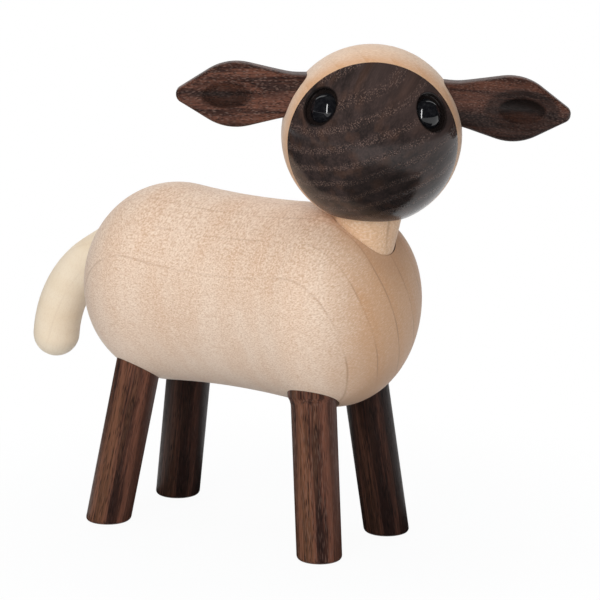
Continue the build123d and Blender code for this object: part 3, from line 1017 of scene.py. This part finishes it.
class SHEEP_OT_neck(bpy.types.Operator):
    """Turns the tapered neck with its grooved foot and paints the rubber ring"""

    bl_idname = "sheep.neck"
    bl_label = "Neck"

    def execute(self, context):
        sizes = settings().neck
        tints = settings().finish
        floor, taper_foot, flat = neck_heights()
        foot = floor + sizes.end_clearance
        radius = sizes.diameter / 2
        groove = radius - sizes.ring_section
        groove_half = sizes.ring_section / 2 + GROOVE_PLAY
        groove_mid = floor + sizes.ring_rise
        tenon = sizes.tenon_diameter / 2
        section = Outline(0, foot).line(radius - FOOT_CHAMFER, foot)
        section.line(radius, foot + FOOT_CHAMFER)
        section.line(radius, groove_mid - groove_half).line(groove, groove_mid - groove_half)
        section.line(groove, groove_mid + groove_half).line(radius, groove_mid + groove_half)
        section.line(radius, taper_foot).line(sizes.top_diameter / 2, flat)
        section.line(tenon, flat).line(tenon, flat + sizes.tenon_length)
        section.line(0, flat + sizes.tenon_length)
        neck = to_object("amber_neck", section.turn(128), neck_matrix())
        radial = NECK_AXIS.cross(VIEW_BACK).normalized()
        cut = Cut(BALL_CENTRE, NECK_AXIS, radial, pith=(138.5, 0.0), spacing=14.0)
        wood = pale_wood(
            "amber_neck", tints.amber, tints.amber_shade, cut, flecks=0.55, lines=0.75
        )
        dress(neck, wood, "head", "neck")
        ring = frame["nodes"]["neck_ring"]
        ring.data.materials.clear()
        ring.data.materials.append(soft_rubber("friction_rubber"))
        return {"FINISHED"}


def ball_blank():
    """Ball about the origin with the flat that seats the neck."""
    sizes = settings().head
    bm = bmesh.new()
    bmesh.ops.create_icosphere(bm, subdivisions=7, radius=sizes.ball / 2)
    drop = sizes.flat_depth - sizes.ball / 2
    cap(bm, slice_off(bm, Vector((0, 0, drop)), -UP))
    return bm


def facing():
    """The way the face looks, in the head's own frame."""
    pitch = settings().head.face_pitch
    return Vector((0, -math.cos(pitch), -math.sin(pitch)))


def eye_axis(side):
    """Direction of one eye from the ball's centre, in the head's own frame."""
    sizes = settings().head
    level = math.cos(sizes.eye_elevation)
    return Vector(
        (
            side * math.sin(sizes.eye_azimuth) * level,
            -math.cos(sizes.eye_azimuth) * level,
            math.sin(sizes.eye_elevation),
        )
    )


def close_seam(bm, loop, axis, height):
    """Steps the edge of the seam in a little and closes it with the flat glue face."""
    inset = settings().head.seam_inset
    centre = axis * height

    def inwards(co):
        rel = co - centre
        rel -= axis * rel.dot(axis)
        return centre + rel * (1 - inset / rel.length)

    cap(bm, pull_loop(bm, loop, inwards))


class SHEEP_OT_head(bpy.types.Operator):
    """Makes the ball in two woods, with the eyes' recesses turned into the dark face"""

    bl_idname = "sheep.head"
    bl_label = "Head"

    def execute(self, context):
        sizes = settings().head
        tints = settings().finish
        radius = sizes.ball / 2
        seam = radius - sizes.face_depth
        axis = facing()
        place = head_matrix()

        back = ball_blank()
        close_seam(back, slice_off(back, axis * seam, axis), axis, seam)
        tidy(back)
        ball = to_object("amber_head_ball", back, place)
        turn = place.to_3x3()
        cut = Cut(BALL_CENTRE, turn @ UP, turn @ LEFT, pith=(48.0, 12.0), spacing=6.5)
        by_the_seam = Warmth(turn @ axis, start=1.5, full=8.0, strength=0.9)
        wood = pale_wood(
            "amber_head", tints.maple, tints.amber, cut, flecks=0.50, lines=0.2,
            warm=by_the_seam,
        )
        dress(ball, wood, "head", "head_ball")

        front = ball_blank()
        close_seam(front, slice_off(front, axis * seam, -axis), axis, seam)
        eyes = [eye_axis(side) for side in (-1, 1)]
        for eye in eyes:
            self.turn_recess(front, eye)
        tidy(front)
        face = to_object("oak_face", front, place)
        ring_normal = Vector((-0.454, 0.007, 0.891)).normalized()
        fibre = Vector((0.880, 0.163, 0.447))
        fibre = (fibre - ring_normal * fibre.dot(ring_normal)).normalized()
        cut = Cut(BALL_CENTRE, fibre, ring_normal, pith=(-90.0, 10.0), spacing=4.3)
        # Painted light: the face turns to its lighter wood towards the top, where the light from
        # above falls.
        brow_light = Warmth(Vector((-0.047, -0.760, 0.648)), start=13.0, full=22.5, strength=0.34)
        look = OakLook(
            lift=0.03, contrast=0.60, rows=0.21, bands=0.10, pores=0.60, coarse=0.95,
            gloss=0.09, shine=0.25,
        )
        wood = dark_wood(
            "smoked_oak_face", (tints.face, tints.face_streak_and_light), cut, look, brow_light,
            self.painted_shade([turn @ eye for eye in eyes]),
        )
        dress(face, wood, "head", "face")
        return {"FINISHED"}

    def painted_shade(self, eyes):
        """Mask of painted shade in the recesses round the eyes, and of painted shade and a painted
        dark reflection on the lower muzzle.
        """
        sizes = settings().head
        rim = (sizes.recess / 2 + sizes.recess_round) / MM
        muzzle = Vector((-0.644, -0.569, -0.512))

        def mask(wood, spot):
            # Painted shade in the recesses round the eyes.
            first, second = (
                wood.aside(spot, BALL_CENTRE, eye).fade(rim - 0.3, rim + 0.3) for eye in eyes
            )
            # Painted shade and a painted dark reflection on the lower face, which turns down from
            # the light.
            muzzle_shade = wood.aside(spot, BALL_CENTRE, muzzle).fade(7.5, 11.0) * 0.55
            return (first.either(second) * 0.9).either(muzzle_shade)

        return mask

    def turn_recess(self, bm, axis):
        """Opens the ball round an eye and turns a round-lipped recess into it."""
        sizes = settings().head
        radius = sizes.ball / 2
        wall = sizes.recess / 2
        lip = sizes.recess_round
        mouth = wall + lip
        height = math.sqrt(radius**2 - mouth**2)
        floor = radius - sizes.recess_depth
        loop = slice_off(bm, axis * height, axis)
        rings = 6
        for ring in range(1, rings + 1):
            bend = ring / rings * math.pi / 2
            reach = wall + lip * (1 - math.sin(bend))
            fall = lip * (1 - math.cos(bend))
            loop = pull_loop(bm, loop, ring_at(ORIGIN, axis, reach, height - fall))
        for reach, level in ((wall, floor + RECESS_CORNER), (wall - RECESS_CORNER, floor)):
            loop = pull_loop(bm, loop, ring_at(ORIGIN, axis, reach, level))
        cap(bm, loop)


class SHEEP_OT_eyes(bpy.types.Operator):
    """Sets a domed bead in each recess"""

    bl_idname = "sheep.eyes"
    bl_label = "Eyes"

    def execute(self, context):
        sizes = settings().head
        radius = sizes.eye / 2
        dome = (radius**2 + sizes.eye_dome**2) / (2 * sizes.eye_dome)
        gloss = black_gloss("black_bead")
        for hand, side in HANDS:
            axis = eye_axis(side)
            section = Outline(0, -SHANK_LENGTH).line(SHANK_RADIUS, -SHANK_LENGTH)
            section.line(SHANK_RADIUS, 0).line(radius - BEAD_EDGE, 0).line(radius, BEAD_EDGE / 2)
            section.arc((0, sizes.eye_dome - dome), (0, sizes.eye_dome), 28)
            seat = axis * (sizes.ball / 2 - sizes.recess_depth)
            place = head_matrix() @ upright(seat, axis)
            eye = to_object(f"bead_{hand}_eye", section.turn(96), place)
            dress(eye, gloss, "head", f"{hand}_eye")
        return {"FINISHED"}


class EarShape:
    """Leaf outline, thickness and carving of an ear, in its own plane: X out, Y across, Z front."""

    def __init__(self):
        sizes = settings().ears
        self.sizes = sizes
        self.belly_radius = sizes.long * sizes.belly_curve
        self.belly = Vector((sizes.long * sizes.belly, sizes.wide / 2 - self.belly_radius))
        self.tip = Vector((sizes.long - sizes.tip_radius, 0))
        to_tip = self.tip - self.belly
        turn = math.asin((self.belly_radius - sizes.tip_radius) / to_tip.length)
        flank = math.atan2(to_tip.y, to_tip.x) - turn
        out = Vector((-math.sin(flank), math.cos(flank)))
        self.belly_end = self.belly + out * self.belly_radius
        self.tip_start = self.tip + out * sizes.tip_radius
        self.root = Vector((0, sizes.root_wide / 2))
        to_root = self.root - self.belly
        turn = math.asin(self.belly_radius / to_root.length)
        rise = math.atan2(-to_root.y, -to_root.x) + turn
        self.root_rise = math.tan(rise)
        out = Vector((-math.sin(rise), math.cos(rise)))
        self.belly_start = self.belly + out * self.belly_radius

    def half_width(self, along):
        """Half of the leaf's width at a distance from the ball."""
        sizes = self.sizes
        if along <= self.belly_start.x:
            rising = (along + math.sqrt(along**2 + EAR_ROOT_BLEND**2)) / 2
            return self.root.y + self.root_rise * rising
        if along <= self.belly_end.x:
            return self.belly.y + math.sqrt(self.belly_radius**2 - (along - self.belly.x) ** 2)
        if along <= self.tip_start.x:
            part = (along - self.belly_end.x) / (self.tip_start.x - self.belly_end.x)
            return self.belly_end.y + (self.tip_start.y - self.belly_end.y) * part
        return math.sqrt(max(sizes.tip_radius**2 - (along - self.tip.x) ** 2, 0.0))

    def half_thickness(self, along):
        """Half of the leaf's thickness, drawn in over the round of the tip."""
        sizes = self.sizes
        thinning = (sizes.root_thick - sizes.tip_thick) / sizes.long
        half = (sizes.root_thick - thinning * along) / 2
        into = (along - sizes.long + EAR_TIP_EDGE) / EAR_TIP_EDGE
        return half * math.sqrt(max(1 - into**2, 0.0)) if into > 0 else half

    def spoon(self, along, across, long, wide, depth):
        """Height of a spoon-shaped cutter over the ear's middle plane."""
        middle = self.sizes.long * self.sizes.hollow_place
        cutter = ((wide / 2) ** 2 + depth**2) / (2 * depth)
        arc = ((long / 2) ** 2 + depth**2) / (2 * depth)
        off = along - middle
        radius = cutter - arc + math.sqrt(max(arc**2 - off**2, 0.0))
        if radius <= abs(across):
            return math.inf
        thinning = (self.sizes.root_thick - self.sizes.tip_thick) / self.sizes.long / 2
        lift = self.half_thickness(middle) + cutter - depth - thinning * off
        return lift - math.sqrt(radius**2 - across**2)

    def front(self, along, across, height):
        """Height of the carved front where the plain leaf would be at height."""
        sizes = self.sizes
        dish = self.spoon(along, across, sizes.dish_long, sizes.dish_wide, sizes.dish_depth)
        hollow = self.spoon(
            along, across, sizes.hollow_long, sizes.hollow_wide, sizes.hollow_depth
        )
        for cutter, soft in ((dish, DISH_SOFTNESS), (hollow, HOLLOW_SOFTNESS)):
            gap = height - cutter
            if gap > -4 * soft:
                height -= (gap + math.sqrt(gap**2 + soft**2)) / 2
        return height


class SHEEP_OT_ears(bpy.types.Operator):
    """Carves both ears: a rounded leaf with a dish and a deeper hollow in its front"""

    bl_idname = "sheep.ears"
    bl_label = "Ears"

    def execute(self, context):
        sizes = settings().ears
        tints = settings().finish
        ball = settings().head.ball / 2
        waxed = OakLook(rows=0.60, gloss=0.34, shine=0.25)
        looks = {
            "left": waxed._replace(lift=-0.10, contrast=0.7, pores=0.44, coarse=0.8),
            "right": waxed._replace(lift=-0.02, contrast=1.15, pores=0.40, coarse=1.05),
        }
        # Painted shade in the left ear's dish and lower half.
        shadows = {"left": 0.62, "right": 0.0}
        shape = EarShape()
        lateral = math.sqrt(ball**2 - sizes.rise**2)
        for hand, side in HANDS:
            out = Vector((side * math.cos(sizes.droop), 0, -math.sin(sizes.droop)))
            upper = FORWARD.cross(out)
            axes = Matrix((out, upper, FORWARD)).transposed().to_4x4()
            place = head_matrix() @ Matrix.Translation((side * lateral, 0, sizes.rise)) @ axes
            ear = to_object(f"oak_{hand}_ear", self.leaf(shape), place)
            turn = place.to_3x3()
            pith = (-14.0 - 9.0 * side, 4.0)
            cut = Cut(place.translation, turn @ LEFT, turn @ UP, pith, spacing=4.6)
            wood = dark_wood(
                f"smoked_oak_{hand}_ear", (tints.oak, tints.oak_streak), cut, looks[hand],
                painted_shade=self.hollow_shade(place, shadows[hand]),
            )
            dress(ear, wood, "head", f"{hand}_ear", crease=60.0)
        return {"FINISHED"}

    def hollow_shade(self, place, shadow):
        """Mask of painted shade in an ear's hollow, darkest under its upper rim, and with shadow,
        of painted shade in its dish and lower half.
        """
        sizes = settings().ears
        turn = place.to_3x3()
        middle = sizes.long * sizes.hollow_place / MM
        ovals = ((sizes.hollow_long, sizes.hollow_wide), (sizes.dish_long, sizes.dish_wide))

        def mask(wood, spot):
            along = wood.along(spot, place.translation, turn @ LEFT) - middle
            across = wood.along(spot, place.translation, turn @ -FORWARD)
            hollow, dish = (
                (along / (long / 2 / MM)) ** 2 + (across / (wide / 2 / MM)) ** 2
                for long, wide in ovals
            )
            # Painted shade, darkest under the hollow's upper rim.
            under_rim = 0.20 + shadow * 0.40 + across.step(-3.5, 1.5) * 0.50
            shaded = dish.fade(0.8, 1.15).either(across.fade(-3.0, 0.5)) * shadow
            return (hollow.fade(0.6, 1.25) * under_rim).either(shaded)

        return mask

    def leaf(self, shape):
        """Closed leaf: a grid drawn to the outline, mirrored to its back, then carved."""
        sizes = shape.sizes
        bm = bmesh.new()
        bmesh.ops.create_grid(bm, x_segments=150, y_segments=90, size=1.0)
        for vert in bm.verts:
            part = 1 - (1 - (vert.co.x + 1) / 2) ** 1.3
            along = -sizes.embed + (sizes.long + sizes.embed) * part
            aside = math.sin(vert.co.y * math.pi / 2)
            across = shape.half_width(along) * aside
            full = (1 - abs(aside) ** 4) ** 0.25
            vert.co = (along, across, shape.half_thickness(along) * full)
        bmesh.ops.mirror(
            bm,
            geom=bm.verts[:] + bm.edges[:] + bm.faces[:],
            axis="Z",
            matrix=Matrix.Identity(4),
            merge_dist=0.000003,
        )
        for vert in bm.verts:
            if vert.co.z > 0:
                vert.co.z = shape.front(vert.co.x, vert.co.y, vert.co.z)
        bmesh.ops.remove_doubles(bm, verts=bm.verts, dist=0.000003)
        open_edges = [edge for edge in bm.edges if edge.is_boundary]
        bmesh.ops.holes_fill(bm, edges=open_edges, sides=0)
        tidy(bm)
        return bm


class SHEEP_OT_stage(bpy.types.Operator):
    """Lays the white floor and sets the lights and the camera"""

    bl_idname = "sheep.stage"
    bl_label = "Stage"

    def execute(self, context):
        self.floor()
        self.world(context.scene)
        self.flags()
        self.lamps()
        self.camera(context.scene)
        context.scene.view_settings.view_transform = "Standard"
        return {"FINISHED"}

    def floor(self):
        """White floor that the camera sees as white, but for a weak shadow near the feet."""
        bm = bmesh.new()
        bmesh.ops.create_circle(bm, cap_ends=True, segments=96, radius=3.0)
        floor = to_object("studio_floor", bm)
        white = Recipe("studio_white")
        white.set(Base_Color=(0.75, 0.79, 0.83, 1.0), Roughness=0.9)
        glow = white.node("ShaderNodeEmission", inputs={"Color": WHITE})
        from_middle = white.vector("LENGTH", white.place(), output="Value")
        shown = white.seen_directly() * (0.95 + from_middle.step(0.05, 0.14) * 0.05)
        white.surface(white.blend(white.shader, glow, shown))
        floor.data.materials.append(white.material)

    def world(self, scene):
        """Soft light from all round, before a white background."""
        scene.world = bpy.data.worlds.new("studio")
        sky = Nodes(scene.world, "ShaderNodeOutputWorld")
        daylight = {"Color": (0.90, 0.96, 1.0, 1.0), "Strength": 0.25}
        soft = sky.node("ShaderNodeBackground", inputs=daylight)
        shown = sky.node("ShaderNodeBackground", inputs={"Color": WHITE})
        sky.surface(sky.blend(soft, shown, sky.seen_directly()))

    def flags(self):
        """Dark cards that only gloss shows: three on the floor, a tent and its roof."""
        black = Recipe("flag_black")
        black.set(Base_Color=(0.02, 0.02, 0.02, 1.0), Roughness=1.0, Specular_IOR_Level=0.0)
        above_floor = 0.5 * MM
        for name, low, high in (
            ("front_flag", (-0.20, -0.20), (0.045, 0.05)),
            ("side_flag", (-0.90, -0.12), (-0.035, 0.50)),
            ("back_flag", (-0.90, 0.15), (0.35, 1.20)),
        ):
            bm = bmesh.new()
            bmesh.ops.create_grid(bm, x_segments=1, y_segments=1, size=0.5)
            reach = Matrix.Diagonal((high[0] - low[0], high[1] - low[1], 1, 1))
            middle = ((low[0] + high[0]) / 2, (low[1] + high[1]) / 2, above_floor)
            card = to_object(name, bm, Matrix.Translation(middle) @ reach)
            self.only_in_gloss(card, black.material)

        tent_radius = 1.9
        tent_height = 3.0
        tent_sweep = math.radians(290)
        tent = Outline(tent_radius, 0).line(tent_radius, tent_height).bm
        start = math.atan2(VIEW_BACK.y, VIEW_BACK.x) - tent_sweep / 2
        bmesh.ops.transform(tent, matrix=Matrix.Rotation(start, 4, "Z"), verts=tent.verts)
        bmesh.ops.spin(
            tent,
            geom=tent.verts[:] + tent.edges[:],
            cent=ORIGIN,
            axis=UP,
            angle=tent_sweep,
            steps=40,
        )
        self.only_in_gloss(to_object("tent_flag", tent), black.material)
        roof = bmesh.new()
        bmesh.ops.create_circle(roof, cap_ends=True, segments=48, radius=tent_radius)
        card = to_object("roof_flag", roof, Matrix.Translation(UP * tent_height))
        self.only_in_gloss(card, black.material)

    def only_in_gloss(self, card, material):
        card.data.materials.append(material)
        card.visible_camera = False
        card.visible_diffuse = False
        card.visible_transmission = False
        card.visible_shadow = False

    def lamps(self):
        """Soft lights that leave no highlight, and a strip that only the eyes show."""
        middle = Vector((0, 0, 0.07))
        for name, direction, distance, size, watts in (
            ("key_window", (-0.95, -0.15, 0.48), 1.1, (0.8, 0.8), 6.4),
            ("front_fill", (-0.80, -0.60, 0.35), 1.2, (0.5, 0.9), 3.2),
            ("right_fill", (0.75, -0.60, 0.25), 1.2, (0.7, 0.9), 1.0),
            ("far_fill", (0.80, 0.55, 0.35), 1.2, (0.8, 0.9), 3.0),
            ("top_sheet", (0.0, 0.1, 1.0), 1.1, (0.9, 0.9), 4.7),
        ):
            lamp(name, middle, direction, distance, size, watts)
        strip = lamp("eye_strip", BALL_CENTRE, (-0.90, -0.42, 0.38), 1.2, (0.10, 1.5), 10.5)
        strip.visible_glossy = True
        eyes = bpy.data.collections.new("eyes")
        for hand, _ in HANDS:
            eyes.objects.link(bpy.data.objects[f"bead_{hand}_eye"])
        strip.light_linking.receiver_collection = eyes

    def camera(self, scene):
        """Long lens that stands where the photograph was taken."""
        distance = 1.301
        aim_height = 0.072
        aim_right = 0.01299
        aim_down = 0.00936
        back = VIEW_BACK.normalized()
        right = UP.cross(back).normalized()
        upward = back.cross(right)
        aim = Vector((0, body_middle().y, aim_height)) + right * aim_right - upward * aim_down
        lens = bpy.data.cameras.new("photo_camera")
        lens.sensor_width = 36.0
        lens.lens = 294.4
        lens.clip_start = 0.05
        lens.clip_end = 20.0
        camera = bpy.data.objects.new("photo_camera", lens)
        scene.collection.objects.link(camera)
        turn = Matrix((right, upward, back)).transposed().to_4x4()
        camera.matrix_world = Matrix.Translation(aim + back * distance) @ turn
        scene.camera = camera


def lamp(name, target, direction, distance, size, watts):
    """Rectangular soft light that looks at a point and leaves no highlight."""
    light = bpy.data.lights.new(name, "AREA")
    light.shape = "RECTANGLE"
    light.size, light.size_y = size
    light.energy = watts
    holder = bpy.data.objects.new(name, light)
    bpy.context.scene.collection.objects.link(holder)
    away = Vector(direction).normalized()
    turn = away.to_track_quat("Z", "Y").to_matrix().to_4x4()
    holder.matrix_world = Matrix.Translation(target + away * distance) @ turn
    holder.visible_glossy = False
    return holder


class SHEEP_PT_panel(bpy.types.Panel):
    """Lists the sheep's pieces and their sizes"""

    bl_idname = "SHEEP_PT_panel"
    bl_label = "Turned Wooden Sheep"
    bl_space_type = "VIEW_3D"
    bl_region_type = "UI"
    bl_category = "Sheep"

    def draw(self, context):
        layout = self.layout
        for operator in STEPS:
            layout.operator(operator.bl_idname)
        for group in ("body", "legs", "tail", "neck", "head", "ears", "finish"):
            box = layout.box()
            box.label(text=group.title())
            sizes = getattr(context.scene.sheep, group)
            for name in sizes.__annotations__:
                box.prop(sizes, name)


STEPS = (
    SHEEP_OT_body,
    SHEEP_OT_legs,
    SHEEP_OT_tail,
    SHEEP_OT_neck,
    SHEEP_OT_head,
    SHEEP_OT_eyes,
    SHEEP_OT_ears,
    SHEEP_OT_stage,
)
CLASSES = (
    SheepBody,
    SheepLegs,
    SheepTail,
    SheepNeck,
    SheepHead,
    SheepEars,
    SheepFinish,
    Sheep,
    *STEPS,
    SHEEP_PT_panel,
)


def register():
    for item in CLASSES:
        bpy.utils.register_class(item)
    bpy.types.Scene.sheep = bpy.props.PointerProperty(
        type=Sheep, name="Sheep", description="Settings of the turned wooden sheep"
    )


def unregister():
    del bpy.types.Scene.sheep
    for item in reversed(CLASSES):
        bpy.utils.unregister_class(item)


def main():
    """Builds every piece and the stage."""
    register()
    bpy.ops.sheep.body()
    bpy.ops.sheep.legs()
    bpy.ops.sheep.tail()
    bpy.ops.sheep.neck()
    bpy.ops.sheep.head()
    bpy.ops.sheep.eyes()
    bpy.ops.sheep.ears()
    bpy.ops.sheep.stage()


if __name__ == "__main__":
    main()
